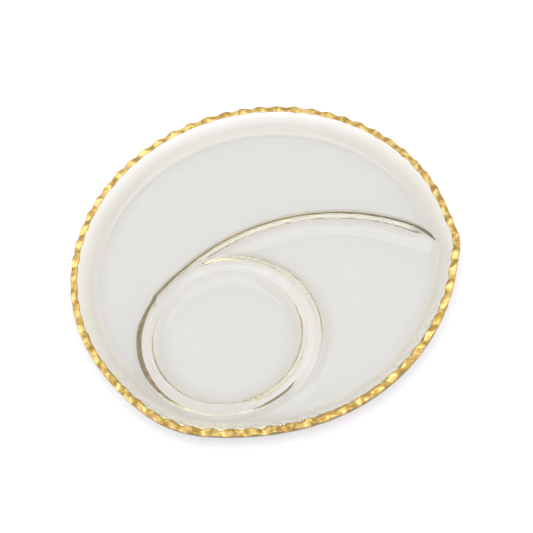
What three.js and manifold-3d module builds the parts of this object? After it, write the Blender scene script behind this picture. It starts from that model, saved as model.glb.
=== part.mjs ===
// Chip and dip server: a low round tray of clear moulded glass. The one sheet of glass is
// folded up into a rounded ridge shaped like a figure six, which is hollow underneath: the ring
// of the six closes round a dip well, and its tail sweeps to the rim and parts the chip
// compartment from the side compartment. The lip is crimped into small scallops and gilded.
//
// Millimetres and degrees. +Z is up, the tray stands on z = 0, and its bounding box is
// centred on the origin. Plan places are measured from the middle of the rim circle.

import * as THREE from 'three';
import { mergeVertices } from 'three/addons/utils/BufferGeometryUtils.js';
import Module from 'manifold-3d';

const wasm = await Module();
wasm.setup();

// ---- Tray ------------------------------------------------------------------------------
const trayRadius = 164;          // outer edge of the gilding on the round side of the tray
const lipHeight = 17.4;          // top of the glass lip at mid wave
const floorThickness = 4.5;      // glass under the compartments and in the ridge
const wallThickness = 4.5;       // glass of the flared wall, measured square to it
const wallSlope = 45;            // flare of the wall above the level
const lipWidth = 5.2;            // flat top of the lip, from the wall to the glass edge
const lipThickness = 3.6;        // height of the glass edge
const wallFillet = 14;           // hollow curve between floor and wall
const lipFillet = 3;             // round turn between wall and lip
const footFillet = 9;            // round turn of the underside at the foot

// ---- Outline: where the hand-shaped rim leaves the true circle -----------------------------
const nearSide = { angle: -66, spread: 47, power: 4, rise: -4.2 };     // the pulled-in side
const wellCorner = { angle: -125, spread: 15, power: 2, rise: 4.5 };   // where the ring nears the wall
const tailCorner = { angle: -7, spread: 6, power: 2, rise: 3 };        // where the tail meets the rim

// ---- Crimped lip -----------------------------------------------------------------------
const scallops = 63;             // waves round the lip
const waveHeight = 1.2;          // rise and fall of the lip's outer edge about mid wave
const waveReach = 11;            // how far in from the edge the waves fade out

// ---- Gilding ---------------------------------------------------------------------------
const gildingWidth = 6;          // band on top of the lip, from its outer face inwards
const gildingThickness = 0.8;    // the fired band, thickened so that it is a solid
const gildingGap = 0.3;          // clearance between band and glass

// ---- Figure-six ridge ------------------------------------------------------------------
const ridgeHeight = 9.5;         // crest above the floor
const wellCentre = new THREE.Vector2(-40.5, -61);
const wellCrestRadius = 69.5;    // crest line of the ring
const tailCrestRadius = 169;     // crest line of the tail
const tailJoinAngle = 136;       // direction from the well in which tail and ring run together
const tailEndAngle = 42;         // direction in which the tail has sunk away into the wall
const tailFade = 14;             // degrees over which it sinks
const steepEndAngle = 310;       // the ring's outer side is steep up to this direction
const steepFade = 25;            // degrees over which it eases
const ringSwell = 35;            // degrees past the join over which the ring's crest widens
const crotchTurn = 38;           // degrees before the join over which the ring's outer side eases

// The sides of the ridge: crest line to the edge of the flat top of the hollow, slope, round crest
// edge on top of the glass, and round foot on top of the glass.
const behindTail = { halfHollow: 0.25, slope: 70, crestFillet: 1, footFillet: 4 };
const behindRing = { halfHollow: 1.5, slope: 82, crestFillet: 1.2, footFillet: 7 };
const besideTail = { halfHollow: 0.55, slope: 45, crestFillet: 1.5, footFillet: 14 };
const inWell = { halfHollow: 2.65, slope: 45, crestFillet: 4.5, footFillet: 14 };
const roundWell = { halfHollow: 2.65, slope: 45, crestFillet: 10, footFillet: 10 };

// ---- Fineness --------------------------------------------------------------------------
const stepsPerScallop = 2;
const rimSteps = scallops * stepsPerScallop;
const ringSteps = 60;
const tailSteps = 36;
const filletSteps = 3;

const radians = THREE.MathUtils.degToRad;

// Builds points along straight runs, each inner corner rounded by a fillet that touches both runs.
// Every corner is [x, y] or [x, y, filletRadius].
function roundedCorners(corners) {
  const points = [];
  corners.forEach(([x, y, radius], index) => {
    const corner = new THREE.Vector2(x, y);
    if (!radius) {
      points.push(corner);
      return;
    }
    const before = new THREE.Vector2(...corners[index - 1]).sub(corner);
    const after = new THREE.Vector2(...corners[index + 1]).sub(corner);
    const halfAngle = Math.acos(before.dot(after) / (before.length() * after.length())) / 2;
    const room = Math.min(before.length(), after.length()) * 0.9;
    const reach = Math.min(radius / Math.tan(halfAngle), room);
    const start = before.setLength(reach).add(corner);
    const end = after.setLength(reach).add(corner);
    points.push(...new THREE.QuadraticBezierCurve(start, corner, end).getPoints(filletSteps));
  });
  return points;
}

// A closed solid of revolution about +Z. The section holds (radius, height) points, ordered
// with the material on their left.
function revolve(section, steps) {
  const geometry = new THREE.LatheGeometry(section, steps);
  geometry.rotateX(Math.PI / 2);
  return geometry;
}

// A closed solid swept counter-clockwise round +Z through these directions in degrees. The
// section in each direction holds (radius, height) points, ordered with the material on
// their left. It closes on itself, or it ends in two flat faces.
function sweep(sectionAt, directions, closed) {
  const places = [];
  directions.forEach((direction) => {
    const turn = radians(direction);
    sectionAt(direction).forEach((point) => {
      places.push(point.x * Math.cos(turn), point.x * Math.sin(turn), point.y);
    });
  });
  const first = sectionAt(directions[0]);
  const triangles = [];
  const spans = closed ? directions.length : directions.length - 1;
  for (let span = 0; span < spans; span += 1) {
    const here = span * first.length;
    const there = ((span + 1) % directions.length) * first.length;
    first.forEach((_, point) => {
      const next = (point + 1) % first.length;
      triangles.push(here + point, there + point, there + next);
      triangles.push(here + point, there + next, here + next);
    });
  }
  if (!closed) {
    const end = spans * first.length;
    THREE.ShapeUtils.triangulateShape(first, []).forEach(([a, b, c]) => {
      triangles.push(a, b, c, end + a, end + c, end + b);
    });
  }
  const geometry = new THREE.BufferGeometry();
  geometry.setAttribute('position', new THREE.Float32BufferAttribute(places, 3));
  geometry.setIndex(triangles);
  return geometry;
}

// Evenly spaced directions from one to the other.
function directionsBetween(from, to, steps) {
  return Array.from({ length: steps + 1 }, (_, step) => from + ((to - from) * step) / steps);
}

// Moves every vertex by a rule of its radius, direction and height.
function reshape(geometry, rule) {
  const position = geometry.getAttribute('position');
  const vertex = new THREE.Vector3();
  for (let index = 0; index < position.count; index += 1) {
    vertex.fromBufferAttribute(position, index);
    rule(vertex, Math.hypot(vertex.x, vertex.y), Math.atan2(vertex.y, vertex.x));
    position.setXYZ(index, vertex.x, vertex.y, vertex.z);
  }
  return geometry;
}

// Turns a closed geometry into a solid that can be joined and cut.
function toSolid(geometry) {
  const bare = geometry.index ? geometry.clone() : geometry;
  bare.deleteAttribute('normal');
  bare.deleteAttribute('uv');
  const merged = mergeVertices(bare, 1e-4);
  const triangles = [];
  const index = merged.index.array;
  for (let corner = 0; corner < index.length; corner += 3) {
    const [a, b, c] = index.slice(corner, corner + 3);
    if (a !== b && b !== c && c !== a) triangles.push(a, b, c);
  }
  return new wasm.Manifold(new wasm.Mesh({
    numProp: 3,
    vertProperties: new Float32Array(merged.getAttribute('position').array),
    triVerts: new Uint32Array(triangles),
  }));
}

// Turns a solid back into a named mesh.
function toMesh(solid, name, material) {
  const { vertProperties, triVerts } = solid.getMesh();
  const geometry = new THREE.BufferGeometry();
  geometry.setAttribute('position', new THREE.BufferAttribute(new Float32Array(vertProperties), 3));
  geometry.setIndex(new THREE.BufferAttribute(new Uint32Array(triVerts), 1));
  geometry.computeVertexNormals();
  const mesh = new THREE.Mesh(geometry, material);
  mesh.name = name;
  return mesh;
}

// ---- Rim outline and waves -------------------------------------------------------------

// How far a hand-shaped feature pushes the rim out in this direction.
function push(feature, angle) {
  const past = THREE.MathUtils.radToDeg(angle) - feature.angle;
  const turn = THREE.MathUtils.euclideanModulo(past + 180, 360) - 180;
  return feature.rise * Math.exp(-(Math.abs(turn / feature.spread) ** feature.power));
}

// Stretches a true circle to the tray's outline. The middle of the floor stays as it is.
function toOutline(vertex, radius, angle) {
  const rise = push(nearSide, angle) + push(wellCorner, angle) + push(tailCorner, angle);
  const share = Math.min(radius / footRadius, 1);
  const scale = radius > 0 ? 1 + (rise * share) / radius : 1;
  vertex.x *= scale;
  vertex.y *= scale;
}

// Lifts and drops the lip's top in waves that fade out inwards.
function crimp(vertex, radius, angle) {
  const fade = Math.max(0, 1 - (trayRadius - radius) / waveReach);
  vertex.z += waveHeight * fade * Math.sin(scallops * angle);
}

// ---- Sections ----------------------------------------------------------------------------
const glassEdge = trayRadius - gildingThickness - gildingGap;
const wallRun = 1 / Math.tan(radians(wallSlope));
const wallTop = glassEdge - lipWidth;
const floorEdge = wallTop - (lipHeight - floorThickness) * wallRun;
const wallShift = wallThickness / Math.sin(radians(wallSlope));
const footRadius = floorEdge + floorThickness * -wallRun + wallShift;
const lipUnderside = lipHeight - lipThickness;
const underLipRadius = footRadius + lipUnderside * wallRun;

// Underside of the tray from its middle to the lower corner of the glass edge.
const underside = roundedCorners([
  [0, 0],
  [footRadius, 0, footFillet],
  [underLipRadius, lipUnderside, lipFillet],
  [glassEdge, lipUnderside],
]);

// Top of the tray from the upper corner of the glass edge to the middle of the floor.
const topSide = roundedCorners([
  [glassEdge, lipHeight],
  [glassEdge - lipWidth / 3, lipHeight],
  [wallTop, lipHeight, lipFillet],
  [floorEdge, floorThickness, wallFillet],
  [0, floorThickness],
]);

// ---- Sides of the ridge --------------------------------------------------------------------

// A side part-way between two others.
function between(one, other, share) {
  const mix = (name) => THREE.MathUtils.lerp(one[name], other[name], share);
  return {
    halfHollow: mix('halfHollow'),
    slope: mix('slope'),
    crestFillet: mix('crestFillet'),
    footFillet: mix('footFillet'),
  };
}

// The top of a side: one sheet of glass over the hollow.
function overGlass(side) {
  return { ...side, halfCrest: side.halfHollow + floorThickness * Math.tan(radians(side.slope) / 2) };
}

// The hollow's own side, one sheet of glass further in.
function underGlass(side) {
  return {
    halfCrest: side.halfHollow,
    slope: side.slope,
    crestFillet: Math.max(side.crestFillet - floorThickness, floorThickness / 20),
    footFillet: side.footFillet + floorThickness,
  };
}

// The outer side of the ring in each direction. It is steep where it faces the chip compartment
// and the rim, and gentle where it faces the side compartment.
function ringOutside(direction) {
  const { smoothstep, euclideanModulo } = THREE.MathUtils;
  const pastJoin = euclideanModulo(direction - tailJoinAngle, 360);
  const steepTurn = steepEndAngle - tailJoinAngle;
  if (pastJoin < steepTurn / 2) return between(behindTail, behindRing, smoothstep(pastJoin, 0, ringSwell));
  if (pastJoin > (steepTurn + 360) / 2) {
    return between(behindTail, roundWell, smoothstep(360 - pastJoin, 0, crotchTurn));
  }
  const eased = smoothstep(pastJoin, steepTurn - steepFade / 2, steepTurn + steepFade / 2);
  return between(behindRing, roundWell, eased);
}

// Cross-section of a ridge about its crest line. Its foot stands at a level, its crest rises over
// that, and it is rooted a little deeper.
function ridgeSection(crestRadius, inner, outer, level, rise, root) {
  const base = (side) => side.halfCrest + rise / Math.tan(radians(side.slope));
  const foot = (side) => base(side) + side.footFillet * Math.tan(radians(side.slope) / 2);
  const crest = level + rise;
  const outline = roundedCorners([
    [-foot(inner), root],
    [foot(outer), root],
    [foot(outer), level],
    [base(outer), level, outer.footFillet],
    [outer.halfCrest, crest, outer.crestFillet],
    [-inner.halfCrest, crest, inner.crestFillet],
    [-base(inner), level, inner.footFillet],
    [-foot(inner), level],
  ]);
  return outline.map((point) => new THREE.Vector2(point.x + crestRadius, point.y));
}

// ---- Glass tray ----------------------------------------------------------------------------

// The floor, wall and lip, with the outline and the waves.
function makeShell() {
  const lower = reshape(revolve([...underside, ...topSide], rimSteps), (vertex, radius, angle) => {
    if (vertex.z > lipUnderside + lipThickness / 4) crimp(vertex, radius, angle);
    toOutline(vertex, radius, angle);
  });
  return toSolid(lower);
}

// Everything inside the middle of the wall: what the ridge may fill.
function makeInterior() {
  const inset = wallThickness / 2;
  const section = [
    new THREE.Vector2(0, floorThickness / 4),
    new THREE.Vector2(floorEdge, floorThickness / 4),
    new THREE.Vector2(wallTop + inset, lipHeight - inset),
    new THREE.Vector2(0, lipHeight - inset),
  ];
  return toSolid(reshape(revolve(section, rimSteps), toOutline));
}

// The ring round the dip well, or the hollow under it.
function makeRing(shapeSide, level, root) {
  const directions = directionsBetween(0, 360, ringSteps).slice(0, -1);
  const sectionAt = (direction) => ridgeSection(
    wellCrestRadius, shapeSide(inWell), shapeSide(ringOutside(direction)), level, ridgeHeight, root);
  return toSolid(sweep(sectionAt, directions, true).translate(wellCentre.x, wellCentre.y, 0));
}

// The tail, or the hollow under it: a wide arc that touches the ring from outside and sinks away
// where it meets the wall.
function makeTail(shapeSide, level, root) {
  const join = radians(tailJoinAngle);
  const offset = wellCrestRadius - tailCrestRadius;
  const centre = new THREE.Vector2(Math.cos(join), Math.sin(join)).multiplyScalar(offset).add(wellCentre);
  const sectionAt = (direction) => {
    const share = THREE.MathUtils.smoothstep(direction, tailEndAngle, tailEndAngle + tailFade);
    const rise = ridgeHeight * Math.max(share, 0.02);
    return ridgeSection(tailCrestRadius, shapeSide(besideTail), shapeSide(behindTail), level, rise, root);
  };
  const directions = directionsBetween(tailEndAngle, tailJoinAngle, tailSteps);
  return toSolid(sweep(sectionAt, directions, false).translate(centre.x, centre.y, 0));
}

function makeGlassTray() {
  const root = floorThickness / 2;
  const ring = makeRing(overGlass, floorThickness, root);
  const tail = makeTail(overGlass, floorThickness, root);
  const ridge = ring.add(tail).intersect(makeInterior());
  const hollow = makeRing(underGlass, 0, -root).add(makeTail(underGlass, 0, -root));
  const glass = new THREE.MeshStandardMaterial({ color: 0xe6ebe4, roughness: 0.05, metalness: 0 });
  return toMesh(makeShell().add(ridge).subtract(hollow), 'glass_tray', glass);
}

// ---- Gilded rim ------------------------------------------------------------------------------

// The gold band wraps the top of the lip and its outer face.
function makeGildedRim() {
  const inner = trayRadius - gildingWidth;
  const innerTop = lipHeight + gildingGap;
  const outerTop = innerTop + gildingThickness;
  const faceInside = trayRadius - gildingThickness;
  const section = [
    new THREE.Vector2(inner, innerTop),
    new THREE.Vector2((inner + glassEdge) / 2, innerTop),
    new THREE.Vector2(faceInside, innerTop),
    new THREE.Vector2(faceInside, lipUnderside),
    new THREE.Vector2(trayRadius, lipUnderside),
    new THREE.Vector2(trayRadius, outerTop - gildingThickness / 2),
    new THREE.Vector2(trayRadius - gildingThickness / 2, outerTop),
    new THREE.Vector2((inner + glassEdge) / 2, outerTop),
    new THREE.Vector2(inner, outerTop),
    new THREE.Vector2(inner, innerTop),
  ];
  const band = reshape(revolve(section, rimSteps), (vertex, radius, angle) => {
    if (vertex.z > lipUnderside + lipThickness / 4) crimp(vertex, radius, angle);
    toOutline(vertex, radius, angle);
  });
  const gold = new THREE.MeshStandardMaterial({ color: 0xc9a044, roughness: 0.3, metalness: 1 });
  return toMesh(toSolid(band), 'gilded_rim', gold);
}

// ---- Assembly ----------------------------------------------------------------------------------
const server = new THREE.Group();
server.add(makeGlassTray(), makeGildedRim());

const box = new THREE.Box3().setFromObject(server);
const middle = box.getCenter(new THREE.Vector3());
server.position.set(-middle.x, -middle.y, -box.min.z);

export default server;
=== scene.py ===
"""Chip and dip server: a low round tray of clear moulded glass with a gilded, crimped lip.

The one sheet of glass is folded up into a rounded ridge shaped like a figure six. Its ring closes
round a dip well, and its tail sweeps to the rim and parts the chip and side compartments.

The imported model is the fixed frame: the tray is drawn to its box and rides on its one body. Sizes
of the tray are millimetres and degrees, measured in plan from the middle of the rim circle. The
studio's distances are metres, except its target, which is a point of the tray.
"""

import logging
import math
from dataclasses import dataclass
from enum import Enum
from typing import Sequence

import bpy
import numpy as np
from mathutils import Matrix, Vector


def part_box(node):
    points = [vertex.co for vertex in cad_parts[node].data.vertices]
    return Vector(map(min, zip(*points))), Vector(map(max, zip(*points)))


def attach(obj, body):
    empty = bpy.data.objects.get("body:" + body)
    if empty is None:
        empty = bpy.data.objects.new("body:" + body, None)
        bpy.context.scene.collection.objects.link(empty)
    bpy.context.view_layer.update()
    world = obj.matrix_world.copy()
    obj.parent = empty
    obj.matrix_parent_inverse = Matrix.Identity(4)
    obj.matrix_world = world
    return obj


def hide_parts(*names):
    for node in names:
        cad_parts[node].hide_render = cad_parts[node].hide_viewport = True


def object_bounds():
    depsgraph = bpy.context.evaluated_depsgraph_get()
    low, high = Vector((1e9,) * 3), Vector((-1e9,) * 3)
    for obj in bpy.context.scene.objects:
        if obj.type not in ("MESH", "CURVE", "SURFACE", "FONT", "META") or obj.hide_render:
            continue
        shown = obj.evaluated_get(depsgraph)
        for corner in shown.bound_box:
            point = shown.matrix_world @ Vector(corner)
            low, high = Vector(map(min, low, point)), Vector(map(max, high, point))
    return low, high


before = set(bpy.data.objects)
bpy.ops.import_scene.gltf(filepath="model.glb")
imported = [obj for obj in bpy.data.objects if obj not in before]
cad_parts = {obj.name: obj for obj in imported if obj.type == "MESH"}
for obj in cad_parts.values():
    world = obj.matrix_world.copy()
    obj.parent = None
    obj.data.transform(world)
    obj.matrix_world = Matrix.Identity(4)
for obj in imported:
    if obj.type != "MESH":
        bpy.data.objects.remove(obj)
CAD_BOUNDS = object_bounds()

MM = 0.001
BODY = "root"
LOG = logging.getLogger("chip_and_dip_server")

Numbers = np.ndarray


class Slot(Enum):
    """The record's material slots."""

    CLEAR_GLASS = "clear_glass"
    GILDING = "gilding"


class Node(Enum):
    """The CAD nodes that the pieces stand for."""

    GLASS_TRAY = "glass_tray"
    GILDED_RIM = "gilded_rim"


# ---- Curves ------------------------------------------------------------------------------------


def rounded_path(corners: Sequence[tuple[float, ...]], steps: int = 40) -> Numbers:
    """Draws straight runs whose inner corners are rounded by curves that touch both runs.

    Args:
        corners: Each corner as (x, y) or (x, y, fillet radius).
        steps: Points along each rounded corner.

    Returns:
        The path's points, one row each.
    """
    points: list[Numbers] = []
    for index, (x, y, *fillet) in enumerate(corners):
        corner = np.array([x, y], float)
        if not fillet:
            points.append(corner[None])
            continue
        before = np.array(corners[index - 1][:2]) - corner
        after = np.array(corners[index + 1][:2]) - corner
        lengths = np.linalg.norm(before), np.linalg.norm(after)
        half_angle = math.acos(float(before @ after) / (lengths[0] * lengths[1])) / 2
        reach = min(fillet[0] / math.tan(half_angle), 0.9 * min(lengths))
        start = corner + before / lengths[0] * reach
        end = corner + after / lengths[1] * reach
        share = np.linspace(0, 1, steps)[:, None]
        curve = (1 - share) ** 2 * start + 2 * share * (1 - share) * corner + share**2 * end
        points.append(curve)
    return np.vstack(points)


def turn_between(angle: Numbers, centre: float) -> Numbers:
    """Returns the turn in degrees from a direction to each angle, within half a circle."""
    return (np.degrees(angle) - centre + 180) % 360 - 180


def ease(value: Numbers) -> Numbers:
    """Returns 0 below 0, 1 above 1, and a smooth rise between."""
    share = np.clip(value, 0, 1)
    return share * share * (3 - 2 * share)


# ---- Shape of the tray -------------------------------------------------------------------------


@dataclass(frozen=True)
class HandShape:
    """A place where the hand-shaped rim leaves the true circle."""

    angle: float
    spread: float
    power: float
    rise: float

    def push(self, angle: Numbers) -> Numbers:
        """Returns how far this feature pushes the rim out in each direction."""
        turn = np.abs(turn_between(angle, self.angle))
        return self.rise * np.exp(-((turn / self.spread) ** self.power))


@dataclass(frozen=True)
class Outline:
    """The tray's outer edge in plan."""

    radius: float = 164.0
    near_side: HandShape = HandShape(-66, 47, 4, -4.2)
    well_corner: HandShape = HandShape(-125, 15, 2, 4.5)
    tail_corner: HandShape = HandShape(-7, 6, 2, 3.0)

    def at(self, angle: Numbers) -> Numbers:
        """Returns the outer edge's distance from the middle in each direction."""
        shapes = (self.near_side, self.well_corner, self.tail_corner)
        return self.radius + sum(shape.push(angle) for shape in shapes)

    def extent(self) -> tuple[Numbers, Numbers]:
        """Returns the lowest and highest corner of the outline."""
        angle = np.radians(np.arange(0, 360, 0.25))
        points = np.stack([self.at(angle) * np.cos(angle), self.at(angle) * np.sin(angle)], 1)
        return points.min(0), points.max(0)


@dataclass(frozen=True)
class Crimp:
    """The scallops of the lip: waves whose crests slant a little, like the strands of a rope."""

    scallops: int = 63
    height: float = 1.5
    reach: float = 13.0
    sharpness: float = 0.9
    slant: float = 0.28
    unevenness: float = 0.1

    def lift(self, angle: Numbers, inset: Numbers) -> Numbers:
        """Returns how far the waves lift the glass.

        Args:
            angle: Direction from the middle of the tray.
            inset: Distance in from the outer edge.

        Returns:
            The rise above mid wave.
        """
        sway = 0.35 * np.sin(5 * angle + 0.7) + 0.25 * np.sin(11 * angle + 2.1)
        strength = 1 - self.unevenness + self.unevenness * np.sin(7 * angle + 1.3)
        wave = np.sin(self.scallops * angle + sway + self.slant * inset)
        wave = np.arcsin(self.sharpness * wave) / math.asin(self.sharpness)
        fade = np.clip(1 - inset / self.reach, 0, 1)
        return self.height * strength * fade * wave


@dataclass(frozen=True)
class Flank:
    """One side of the ridge: a straight slope between a round crest edge and a hollow foot."""

    half_crest: float
    slope: float
    crest_fillet: float
    foot_fillet: float

    def foot(self, height: float) -> float:
        """Returns how far from the middle of the crest the flank meets the floor."""
        slope = math.radians(self.slope)
        return self.half_crest + height / math.tan(slope) + self.foot_fillet * math.tan(slope / 2)

    def top(self, height: float) -> Numbers:
        """Returns the upper surface from mid crest to the floor: (distance, height) rows."""
        base = self.half_crest + height / math.tan(math.radians(self.slope))
        return rounded_path([
            (0, height),
            (self.half_crest, height, self.crest_fillet),
            (base, 0, self.foot_fillet),
            (self.foot(height) + 1, 0),
        ])

    def underside(self, height: float, sheet: float) -> Numbers:
        """Returns the lower surface, one sheet thickness under the upper one, like `top` does."""
        half = self.top(height)
        whole = np.vstack([half[::-1] * (-1, 1), half[1:]])
        across = np.linspace(0, half[-1, 0], 160)
        gap = across[:, None] - whole[None, :, 0]
        drop = np.sqrt(np.maximum(sheet**2 - gap**2, 0))
        under = np.where(np.abs(gap) < sheet, whole[None, :, 1] + sheet - drop, np.inf).min(1)
        return np.stack([across, np.maximum(under, 0)], 1)


@dataclass(frozen=True)
class Ridge:
    """The figure-six fold of the glass: its flanks, and its two circles in plan."""

    height: float = 9.5
    behind_tail: Flank = Flank(3.4, 70.0, 1.0, 4.0)
    behind_ring: Flank = Flank(5.4, 82.0, 1.2, 7.0)
    beside_tail: Flank = Flank(2.4, 45.0, 1.5, 14.0)
    in_well: Flank = Flank(4.5, 45.0, 4.5, 14.0)
    round_well: Flank = Flank(4.5, 45.0, 10.0, 10.0)
    well: tuple[float, float] = (-40.5, -61.0)
    well_radius: float = 69.5
    tail_radius: float = 169.0
    join_angle: float = 136.0
    steep_end: float = 310.0
    steep_fade: float = 25.0
    swell_turn: float = 35.0
    crotch_turn: float = 340.0
    tail_end: float = 42.0
    tail_fade: float = 14.0
    runout_end: float = 12.0
    runout: float = 22.0
    blend: float = 5.0

    @property
    def widest_foot(self) -> float:
        """How far the widest flank reaches from the middle of the crest."""
        flanks = (self.behind_ring, self.beside_tail, self.in_well, self.round_well)
        return max(flank.foot(self.height) for flank in flanks)

    @property
    def tail_centre(self) -> Numbers:
        """The middle of the tail's circle, which touches the well's ring from outside."""
        join = math.radians(self.join_angle)
        offset = self.tail_radius - self.well_radius
        return np.array(self.well) - offset * np.array([math.cos(join), math.sin(join)])

    def measure(self, x: Numbers, y: Numbers) -> dict[str, Numbers]:
        """Measures points from the six.

        Args:
            x: Across.
            y: Along.

        Returns:
            `ring` and `tail`: how far each point is outside the crest line of either, `beyond`:
            whether the tail has ended there, `turn`: its direction from the tail's centre, `near`:
            how far it is from the nearer line, `share`: 1 where that is the ring, 0 for the tail.
        """
        ring = np.hypot(x - self.well[0], y - self.well[1]) - self.well_radius
        cx, cy = self.tail_centre
        tail = np.hypot(x - cx, y - cy) - self.tail_radius
        turn = (np.degrees(np.arctan2(y - cy, x - cx)) - self.join_angle + 90) % 360 - 90
        past_end = np.radians(np.maximum(turn, 0)) * self.tail_radius
        to_tail = np.hypot(tail, past_end)
        to_ring = np.abs(ring)
        share = np.clip(0.5 + 0.5 * (to_tail - to_ring) / self.blend, 0, 1)
        near = to_tail * (1 - share) + to_ring * share - self.blend * share * (1 - share)
        return {
            "ring": ring,
            "tail": tail,
            "beyond": past_end > 0,
            "turn": turn + self.join_angle,
            "near": np.maximum(near, 0),
            "share": share,
        }

    def flank_shares(self, x: Numbers, y: Numbers) -> list[tuple[Flank, Numbers]]:
        """Returns every flank with its share at each point; the shares add up to 1."""
        place = self.measure(x, y)
        direction = np.degrees(np.arctan2(y - self.well[1], x - self.well[0]))
        past_join = (direction - self.join_angle) % 360
        steep_turn = self.steep_end - self.join_angle
        steep = 1 - ease((past_join - steep_turn) / self.steep_fade + 0.5)
        in_crotch = past_join > self.crotch_turn
        steep = np.where(in_crotch, 1, steep) * (place["ring"] > 0)
        outside = np.where(place["beyond"], steep, place["tail"] > 0)
        swell = ease(np.where(in_crotch, 0, past_join) / self.swell_turn)
        swell = np.where(place["beyond"], swell, 0)
        inside = 1 - outside
        return [
            (self.behind_tail, outside * (1 - swell)),
            (self.behind_ring, outside * swell),
            (self.round_well, inside * place["share"] * (place["ring"] > 0)),
            (self.in_well, inside * place["share"] * (place["ring"] <= 0)),
            (self.beside_tail, inside * (1 - place["share"])),
        ]

    def fullness(self, place: dict[str, Numbers]) -> Numbers:
        """Returns 1 where the fold stands at its full height, less where the tail sinks away."""
        full = ease((place["turn"] - self.tail_end) / self.tail_fade)
        return full + (1 - full) * place["share"]

    def rise(self, x: Numbers, y: Numbers) -> Numbers:
        """Returns how far the top of the glass rises over the floor at each point."""
        place = self.measure(x, y)
        total = np.zeros_like(place["near"])
        for flank, share in self.flank_shares(x, y):
            curve = flank.top(self.height)
            total += share * np.interp(place["near"], curve[:, 0], curve[:, 1])
        return total * self.fullness(place)

    def hollow(self, x: Numbers, y: Numbers, sheet: float, inset: Numbers) -> Numbers:
        """Returns how far the underside rises over the table at each point.

        Args:
            x: Across.
            y: Along.
            sheet: The glass thickness.
            inset: How far the point lies inside the outer edge.

        Returns:
            The rise; it dies out where the fold comes near the wall.
        """
        place = self.measure(x, y)
        total = np.zeros_like(place["near"])
        for flank, share in self.flank_shares(x, y):
            curve = flank.underside(self.height, sheet)
            total += share * np.interp(place["near"], curve[:, 0], curve[:, 1])
        beside_wall = 1 - ease((inset - self.runout_end) / self.runout)
        return total * self.fullness(place) * (1 - beside_wall * place["share"])


@dataclass(frozen=True)
class TrayShape:
    """The whole tray as a top surface and an underside over the plan."""

    outline: Outline = Outline()
    crimp: Crimp = Crimp()
    ridge: Ridge = Ridge()
    gilding_thickness: float = 0.45
    lip_height: float = 17.75
    floor_thickness: float = 4.5
    wall_thickness: float = 4.5
    wall_slope: float = 45.0
    lip_width: float = 5.5
    lip_underside: float = 14.0
    wall_fillet: float = 14.0
    lip_fillet: float = 3.0
    foot_fillet: float = 9.0
    merge_power: float = 4.0

    def wall_section(self) -> Numbers:
        """Returns the top of lip, wall and floor: (inset, height) rows."""
        slope = math.radians(self.wall_slope)
        top = self.gilding_thickness + self.lip_width
        bottom = top + (self.lip_height - self.floor_thickness) / math.tan(slope)
        return rounded_path([
            (0, self.lip_height),
            (top, self.lip_height, self.lip_fillet),
            (bottom, self.floor_thickness, self.wall_fillet),
            (self.outline.radius, self.floor_thickness),
        ])

    def under_section(self) -> Numbers:
        """Returns the underside of lip, wall and floor: (inset, height) rows."""
        slope = math.radians(self.wall_slope)
        top = self.gilding_thickness + self.lip_width
        floor_edge = top + (self.lip_height - self.floor_thickness) / math.tan(slope)
        foot = floor_edge + self.floor_thickness / math.tan(slope)
        foot -= self.wall_thickness / math.sin(slope)
        return rounded_path([
            (0, self.lip_underside),
            (foot - self.lip_underside / math.tan(slope), self.lip_underside, self.lip_fillet),
            (foot, 0, self.foot_fillet),
            (self.outline.radius, 0),
        ])

    def inset(self, x: Numbers, y: Numbers) -> Numbers:
        """Returns how far each point lies inside the outer edge."""
        return self.outline.at(np.arctan2(y, x)) - np.hypot(x, y)

    def top(self, x: Numbers, y: Numbers) -> Numbers:
        """Returns the height of the glass at each point."""
        inset = self.inset(x, y)
        section = self.wall_section()
        wall = np.interp(inset, section[:, 0], section[:, 1]) - self.floor_thickness
        ridge = self.ridge.rise(x, y)
        power = self.merge_power
        together = (np.maximum(wall, 0) ** power + ridge**power) ** (1 / power)
        return self.floor_thickness + together + self.crimp.lift(np.arctan2(y, x), inset)

    def underside(self, x: Numbers, y: Numbers) -> Numbers:
        """Returns the height of the underside at each point."""
        section = self.under_section()
        inset = self.inset(x, y)
        wall = np.interp(inset, section[:, 0], section[:, 1])
        ridge = self.ridge.hollow(x, y, self.floor_thickness, inset)
        power = self.merge_power
        return (np.maximum(wall, 0) ** power + ridge**power) ** (1 / power)


# ---- Meshes ------------------------------------------------------------------------------------


@dataclass(frozen=True)
class Placement:
    """Where the tray's plan stands in the frame: in the box of the CAD model's rim."""

    middle: Numbers
    scale: float

    @classmethod
    def in_box(cls, outline: Outline) -> "Placement":
        """Fits an outline to the box of the gilded rim."""
        low, high = (np.array(corner)[:2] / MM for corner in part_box(Node.GILDED_RIM.value))
        own_low, own_high = outline.extent()
        scale = float(min(1.0, ((high - low) / (own_high - own_low)).min()))
        middle = (low + high) / 2 - (own_low + own_high) / 2 * scale
        return cls(middle, scale)

    def to_frame(self, points: Numbers) -> Numbers:
        """Returns points of the plan, in millimetres, as points of the frame, in metres."""
        moved = points * np.array([self.scale, self.scale, 1.0])
        moved[:, :2] += self.middle
        return moved * MM


def grid_faces(rows: int, columns: int, closed_rows: bool) -> list[tuple[int, int, int, int]]:
    """Joins a grid of points into four-sided faces.

    Args:
        rows: Number of rows of points.
        columns: Points in each row; the last is joined to the first.
        closed_rows: Whether the last row is joined to the first.

    Returns:
        The faces, each as four point numbers.
    """
    faces = []
    for row in range(rows if closed_rows else rows - 1):
        above = (row + 1) % rows
        for column in range(columns):
            beside = (column + 1) % columns
            faces.append((
                row * columns + column,
                row * columns + beside,
                above * columns + beside,
                above * columns + column,
            ))
    return faces


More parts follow.
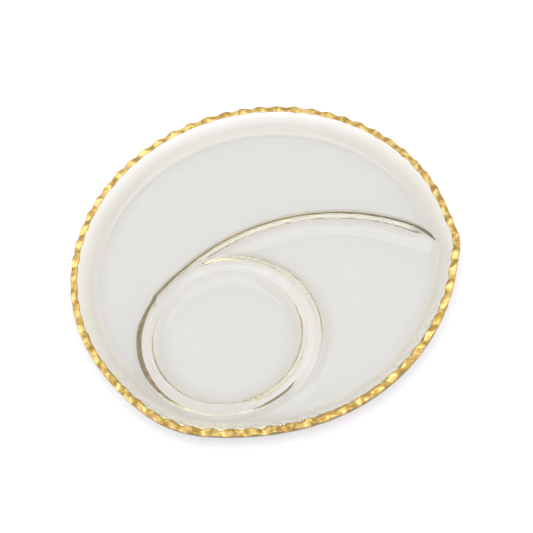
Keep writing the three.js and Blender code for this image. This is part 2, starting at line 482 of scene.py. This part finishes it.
def mesh_object(name: str, points: Numbers, faces: Sequence[tuple[int, ...]]) -> bpy.types.Object:
    """Makes a smooth-shaded object from points in metres and faces."""
    mesh = bpy.data.meshes.new(name)
    mesh.from_pydata(points.tolist(), [], faces)
    mesh.polygons.foreach_set("use_smooth", [True] * len(mesh.polygons))
    mesh.update()
    piece = bpy.data.objects.new(name, mesh)
    bpy.context.scene.collection.objects.link(piece)
    return piece


# ---- Finishes ----------------------------------------------------------------------------------


class NodeBoard:
    """A short way to lay out and join a material's nodes."""

    def __init__(self, tree: bpy.types.NodeTree) -> None:
        """Clears a node tree and keeps it."""
        self.tree = tree
        tree.nodes.clear()

    def add(self, kind: str, **settings: object) -> bpy.types.Node:
        """Adds a node.

        Args:
            kind: The node's type name.
            settings: Node properties by name; a name that is a socket sets that socket's value.

        Returns:
            The new node.
        """
        node = self.tree.nodes.new(kind)
        for key, value in settings.items():
            label = key.replace("_", " ")
            if label in node.inputs:
                node.inputs[label].default_value = value
            else:
                setattr(node, key, value)
        return node

    def join(self, source: bpy.types.NodeSocket, target: bpy.types.NodeSocket) -> None:
        """Links one socket to another."""
        self.tree.links.new(source, target)


@dataclass(frozen=True)
class ClearGlass:
    """Clear moulded glass with a warm body tint and a slightly wavy, fire-polished skin."""

    tint: tuple[float, float, float, float] = (1.0, 1.0, 1.0, 1)
    roughness: float = 0.015
    ior: float = 1.5
    transmission: float = 0.96
    body_colour: tuple[float, float, float, float] = (0.86, 0.74, 0.0, 1)
    body_density: float = 11.0

    def material(self) -> bpy.types.Material:
        """Builds the material."""
        glass = bpy.data.materials.new("clear moulded glass")
        glass.use_nodes = True
        board = NodeBoard(glass.node_tree)
        output = board.add("ShaderNodeOutputMaterial")
        shader = board.add("ShaderNodeBsdfPrincipled", Roughness=self.roughness, IOR=self.ior)
        shader.inputs["Base Color"].default_value = self.tint
        shader.inputs["Transmission Weight"].default_value = self.transmission
        place = board.add("ShaderNodeTexCoord")
        waves = board.add("ShaderNodeTexNoise", Scale=28.0, Detail=2.0, Roughness=0.4)
        bump = board.add("ShaderNodeBump", Strength=0.06, Distance=0.002)
        board.join(place.outputs["Object"], waves.inputs["Vector"])
        board.join(waves.outputs["Fac"], bump.inputs["Height"])
        board.join(bump.outputs["Normal"], shader.inputs["Normal"])
        board.join(shader.outputs["BSDF"], output.inputs["Surface"])
        body = board.add("ShaderNodeVolumeAbsorption", Density=self.body_density)
        body.inputs["Color"].default_value = self.body_colour
        board.join(body.outputs["Volume"], output.inputs["Volume"])
        return glass


@dataclass(frozen=True)
class FiredGold:
    """Fired gold brushed over the lip: satin, and uneven in tone."""

    name: str = "fired gold"
    pale: tuple[float, float, float, float] = (0.68, 0.50, 0.20, 1)
    deep: tuple[float, float, float, float] = (0.36, 0.23, 0.06, 1)
    deep_up_to: float = 0.4
    pale_from: float = 0.6

    def material(self) -> bpy.types.Material:
        """Builds the material."""
        gold = bpy.data.materials.new(self.name)
        gold.use_nodes = True
        board = NodeBoard(gold.node_tree)
        output = board.add("ShaderNodeOutputMaterial")
        shader = board.add("ShaderNodeBsdfPrincipled", Metallic=1.0)
        place = board.add("ShaderNodeTexCoord")
        patches = board.add("ShaderNodeTexNoise", Scale=160.0, Detail=3.0, Roughness=0.55)
        tone = board.add("ShaderNodeValToRGB")
        tone.color_ramp.elements[0].position = self.deep_up_to
        tone.color_ramp.elements[0].color = self.deep
        tone.color_ramp.elements[1].position = self.pale_from
        tone.color_ramp.elements[1].color = self.pale
        polish = board.add("ShaderNodeMapRange", From_Min=0.3, From_Max=0.7, To_Min=0.3, To_Max=0.16)
        grain = board.add("ShaderNodeTexNoise", Scale=520.0, Detail=2.0, Roughness=0.5)
        bump = board.add("ShaderNodeBump", Strength=0.25, Distance=0.0006)
        board.join(place.outputs["Object"], patches.inputs["Vector"])
        board.join(place.outputs["Object"], grain.inputs["Vector"])
        board.join(patches.outputs["Fac"], tone.inputs["Fac"])
        board.join(patches.outputs["Fac"], polish.inputs["Value"])
        board.join(tone.outputs["Color"], shader.inputs["Base Color"])
        board.join(polish.outputs["Result"], shader.inputs["Roughness"])
        board.join(grain.outputs["Fac"], bump.inputs["Height"])
        board.join(bump.outputs["Normal"], shader.inputs["Normal"])
        board.join(shader.outputs["BSDF"], output.inputs["Surface"])
        return gold


@dataclass(frozen=True)
class PaperFloor:
    """A plain pale studio sweep."""

    colour: tuple[float, float, float, float] = (0.835, 0.848, 0.93, 1)

    def material(self) -> bpy.types.Material:
        """Builds the material."""
        paper = bpy.data.materials.new("studio paper")
        paper.use_nodes = True
        board = NodeBoard(paper.node_tree)
        output = board.add("ShaderNodeOutputMaterial")
        shader = board.add("ShaderNodeBsdfDiffuse", Color=self.colour)
        board.join(shader.outputs["BSDF"], output.inputs["Surface"])
        return paper


# ---- Pieces ------------------------------------------------------------------------------------


@dataclass
class GlassTray:
    """The one sheet of moulded glass: floor, wall, lip and figure-six ridge."""

    shape: TrayShape
    placement: Placement
    finish: ClearGlass = ClearGlass()
    columns: int = 504
    top_rows: int = 98
    samples: int = 1200
    wall_reach: float = 30.0
    wall_softness: float = 1.5
    crest_reach: float = 3.5
    floor_density: float = 0.12
    slope_density: float = 0.9
    crest_density: float = 2.5

    def row_shares(self, edge_x: Numbers, edge_y: Numbers) -> Numbers:
        """Spreads the rows of points along every column, close where the glass bends.

        Args:
            edge_x: Where each column meets the glass edge, across from the middle of the well.
            edge_y: The same, along.

        Returns:
            For every row and column, how far along the column the point lies, from 0 to 1.
        """
        fine = np.linspace(0, 1, self.samples)
        x = self.shape.ridge.well[0] + fine[:, None] * edge_x
        y = self.shape.ridge.well[1] + fine[:, None] * edge_y
        distance = self.shape.ridge.measure(x, y)["near"]
        inset = self.shape.inset(x, y)
        half_crest = self.shape.ridge.behind_tail.half_crest
        foot = self.shape.ridge.widest_foot
        on_slope = 1 / (1 + np.exp(distance - foot))
        on_crest = np.exp(-(((distance - half_crest) / self.crest_reach) ** 2))
        on_wall = 1 / (1 + np.exp((inset - self.wall_reach) / self.wall_softness))
        density = self.floor_density + self.slope_density * np.maximum(on_slope, on_wall)
        density = density + self.crest_density * on_crest
        length = np.hypot(edge_x, edge_y)
        mass = np.cumsum(density, axis=0) * length
        mass = (mass - mass[0]) / (mass[-1] - mass[0])
        wanted = np.linspace(0, 1, self.top_rows + 1)[1:]
        shares = [np.interp(wanted, mass[:, column], fine) for column in range(len(edge_x))]
        return np.array(shares).T

    def build(self) -> bpy.types.Object:
        """Makes the glass mesh."""
        shape = self.shape
        angle = np.radians(np.arange(self.columns) * 360 / self.columns)
        reach = shape.outline.at(angle) - shape.gilding_thickness
        well_x, well_y = shape.ridge.well
        edge_x = reach * np.cos(angle) - well_x
        edge_y = reach * np.sin(angle) - well_y
        shares = self.row_shares(edge_x, edge_y)
        top_x = well_x + shares * edge_x
        top_y = well_y + shares * edge_y
        top = np.stack([top_x, top_y, shape.top(top_x, top_y)], 2)
        under = np.stack([top_x, top_y, shape.underside(top_x, top_y)], 2)[::-1]
        rows = np.vstack([top, under])
        middle_top = np.array([[well_x, well_y, shape.floor_thickness]])
        middle_under = np.array([[well_x, well_y, 0.0]])
        points = np.vstack([rows.reshape(-1, 3), middle_top, middle_under])
        faces: list[tuple[int, ...]] = list(grid_faces(len(rows), self.columns, False))
        faces = [face[::-1] for face in faces]
        last = (len(rows) - 1) * self.columns
        top_point = len(rows) * self.columns
        for column in range(self.columns):
            beside = (column + 1) % self.columns
            faces.append((top_point, column, beside))
            faces.append((top_point + 1, last + beside, last + column))
        points = self.placement.to_frame(points)
        return mesh_object("moulded_glass_tray", points, faces)

    def dress(self, piece: bpy.types.Object) -> None:
        """Gives the glass its finish and its place on the frame."""
        piece.data.materials.append(self.finish.material())
        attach(piece, BODY)
        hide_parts(Node.GLASS_TRAY.value)


@dataclass
class GildedRim:
    """The gold band fired onto the lip: over the top, round the edge and down its face."""

    shape: TrayShape
    placement: Placement
    finish: FiredGold = FiredGold()
    # A darker copy of the gold for the band's outer face: painted shade that stands in for the
    # shadowed floor the face reflects.
    face_gold_painted_shade: FiredGold = FiredGold("gold darkened as painted shade", (0.34, 0.21, 0.07, 1), (0.16, 0.09, 0.02, 1))
    columns: int = 63 * 20
    band_width: float = 6.0
    brush_sway: float = 0.55
    feather: float = 0.9
    corner_radius: float = 1.0
    undercut: float = 0.8
    face_rows: int = 4
    gap: float = 0.04

    def build(self) -> bpy.types.Object:
        """Makes the band's mesh: an outer skin, and an inner skin that lies close to the glass."""
        angle = np.radians(np.arange(self.columns) * 360 / self.columns)
        outer = self.skin(angle, 0.0)
        inner = self.skin(angle, self.shape.gilding_thickness - self.gap)
        rows = np.vstack([outer, inner[::-1]])
        points = self.placement.to_frame(rows.reshape(-1, 3))
        faces = grid_faces(len(rows), self.columns, True)
        band = mesh_object("fired_gold_band", points, faces)
        last = len(outer) * self.columns
        first = last - self.face_rows * self.columns
        # Faces in the outer face rows take the darker gold, which is painted shade.
        for face in band.data.polygons:
            on_face = all(first <= corner < last for corner in face.vertices)
            face.material_index = 1 if on_face else 0
        return band

    def skin(self, angle: Numbers, depth: float) -> Numbers:
        """Returns one skin of the band.

        Args:
            angle: Direction of every column.
            depth: How far under the outer skin it lies.

        Returns:
            Rows of points from the band's inner edge to the bottom of its outer face.
        """
        shape = self.shape
        top = shape.lip_height + shape.gilding_thickness - depth
        thin = shape.lip_height + (self.gap if depth else 2 * self.gap)
        width = self.band_width + self.brush_sway * np.cos(shape.crimp.scallops * angle)
        width = width + 0.2 * np.sin(37 * angle + 1) + 0.12 * np.sin(91 * angle)
        full = width - self.feather
        corner = self.corner_radius
        round_edge = corner - depth
        rows = [self.ring(angle, width, thin), self.ring(angle, full, top)]
        for share in (0.75, 0.5, 0.25, 0.0):
            rows.append(self.ring(angle, corner + (full - corner) * share, top))
        for turn in np.linspace(0, math.pi / 2, 6)[1:]:
            inset = np.full_like(angle, corner - round_edge * math.sin(turn))
            rows.append(self.ring(angle, inset, top - round_edge * (1 - math.cos(turn))))
        start = top - round_edge
        for share in (0.5, 1.0):
            inset = np.full_like(angle, depth + self.undercut * share**2)
            row = self.ring(angle, inset, start + (shape.lip_underside - start) * share)
            row[:, 2] -= shape.crimp.lift(angle, inset) * share
            rows.append(row)
        return np.array(rows)

    def ring(self, angle: Numbers, inset: Numbers, height: float) -> Numbers:
        """Returns one row of points at an inset from the outer edge, lifted by the waves."""
        radius = self.shape.outline.at(angle) - inset
        lift = self.shape.crimp.lift(angle, inset)
        return np.stack([radius * np.cos(angle), radius * np.sin(angle), height + lift], 1)

    def dress(self, piece: bpy.types.Object) -> None:
        """Gives the gold its finish, a darker copy of it on the outer face as painted shade, and its
        place on the frame.
        """
        piece.data.materials.append(self.finish.material())
        piece.data.materials.append(self.face_gold_painted_shade.material())
        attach(piece, BODY)
        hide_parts(Node.GILDED_RIM.value)


# ---- Studio ------------------------------------------------------------------------------------


@dataclass(frozen=True)
class SoftBox:
    """A square soft light that faces the tray."""

    name: str
    place: tuple[float, float, float]
    size: float
    power: float


@dataclass
class Studio:
    """The pale floor, the soft light and the camera."""

    placement: Placement
    paper: PaperFloor = PaperFloor()
    floor_size: float = 8.0
    boxes: tuple[SoftBox, ...] = (
        SoftBox("overhead", (0.0, -0.3, 2.2), 2.6, 20.0),
    )
    floor_gap: float = 0.0001
    sky: float = 1.24
    horizon: tuple[float, float, float, float] = (1.0, 0.84, 0.46, 1)
    zenith: tuple[float, float, float, float] = (1, 1, 1, 1)
    horizon_up_to: float = 0.05
    zenith_from: float = 0.7
    all_bounces: int = 32
    glass_bounces: int = 24
    target: tuple[float, float, float] = (2.7, -2.8, 10.0)
    elevation: float = 57.5
    roll: float = 11.5
    distance: float = 1.1
    focal_length: float = 87.8
    sensor_width: float = 36.0

    def build_floor(self) -> bpy.types.Object:
        """Lays the floor just under the tray."""
        half = self.floor_size / 2
        level = CAD_BOUNDS[0][2] - self.floor_gap
        sides = ((-half, -half), (half, -half), (half, half), (-half, half))
        corners = np.array([(x, y, level) for x, y in sides])
        floor = mesh_object("studio_floor", corners, [(0, 1, 2, 3)])
        floor.data.materials.append(self.paper.material())
        return floor

    def build_lights(self) -> None:
        """Hangs the soft lights and sets the sky."""
        for box in self.boxes:
            light = bpy.data.lights.new(box.name, "AREA")
            light.energy = box.power
            light.size = box.size
            lamp = bpy.data.objects.new(box.name, light)
            lamp.location = box.place
            lamp.rotation_euler = (-Vector(box.place)).to_track_quat("-Z", "Y").to_euler()
            bpy.context.scene.collection.objects.link(lamp)
        world = bpy.data.worlds.new("studio")
        world.use_nodes = True
        bpy.context.scene.world = world
        board = NodeBoard(world.node_tree)
        output = board.add("ShaderNodeOutputWorld")
        place = board.add("ShaderNodeTexCoord")
        parts = board.add("ShaderNodeSeparateXYZ")
        fade = board.add("ShaderNodeValToRGB")
        fade.color_ramp.elements[0].position = self.horizon_up_to
        fade.color_ramp.elements[0].color = self.horizon
        fade.color_ramp.elements[1].position = self.zenith_from
        fade.color_ramp.elements[1].color = self.zenith
        sky = board.add("ShaderNodeBackground", Strength=self.sky)
        board.join(place.outputs["Generated"], parts.inputs["Vector"])
        board.join(parts.outputs["Z"], fade.inputs["Fac"])
        board.join(fade.outputs["Color"], sky.inputs["Color"])
        board.join(sky.outputs["Background"], output.inputs["Surface"])

    def build_camera(self) -> bpy.types.Object:
        """Sets up the camera: it looks down at the tray and leans to one side."""
        lens = bpy.data.cameras.new("camera")
        lens.sensor_width = self.sensor_width
        lens.lens = self.focal_length
        camera = bpy.data.objects.new("camera", lens)
        rise, lean = math.radians(self.elevation), math.radians(self.roll)
        ahead = Vector((0, math.cos(rise), -math.sin(rise)))
        right = Vector((1, 0, 0))
        up = Vector((0, math.sin(rise), math.cos(rise)))
        side = right * math.cos(lean) - up * math.sin(lean)
        over = right * math.sin(lean) + up * math.cos(lean)
        turn = Matrix((side, over, -ahead)).transposed()
        plan = np.array([self.target])
        aim = Vector(self.placement.to_frame(plan)[0])
        camera.matrix_world = Matrix.Translation(aim - ahead * self.distance) @ turn.to_4x4()
        bpy.context.scene.collection.objects.link(camera)
        bpy.context.scene.camera = camera
        return camera

    def build(self) -> None:
        """Builds floor, lights and camera."""
        self.build_floor()
        self.build_lights()
        self.build_camera()
        scene = bpy.context.scene
        scene.view_settings.view_transform = "Standard"
        scene.cycles.max_bounces = self.all_bounces
        scene.cycles.glossy_bounces = self.glass_bounces
        scene.cycles.transmission_bounces = self.glass_bounces


# ---- Assembly ----------------------------------------------------------------------------------


def report(piece: bpy.types.Object) -> None:
    """Logs a finished piece and the size of its mesh."""
    LOG.info("%s: %d points, %d faces", piece.name, len(piece.data.vertices), len(piece.data.polygons))


def main() -> None:
    """Builds the studio and the pieces in order."""
    logging.basicConfig(level=logging.INFO)
    shape = TrayShape()
    placement = Placement.in_box(shape.outline)
    Studio(placement).build()
    for part in (GlassTray(shape, placement), GildedRim(shape, placement)):
        piece = part.build()
        part.dress(piece)
        report(piece)


if __name__ == "__main__":
    main()
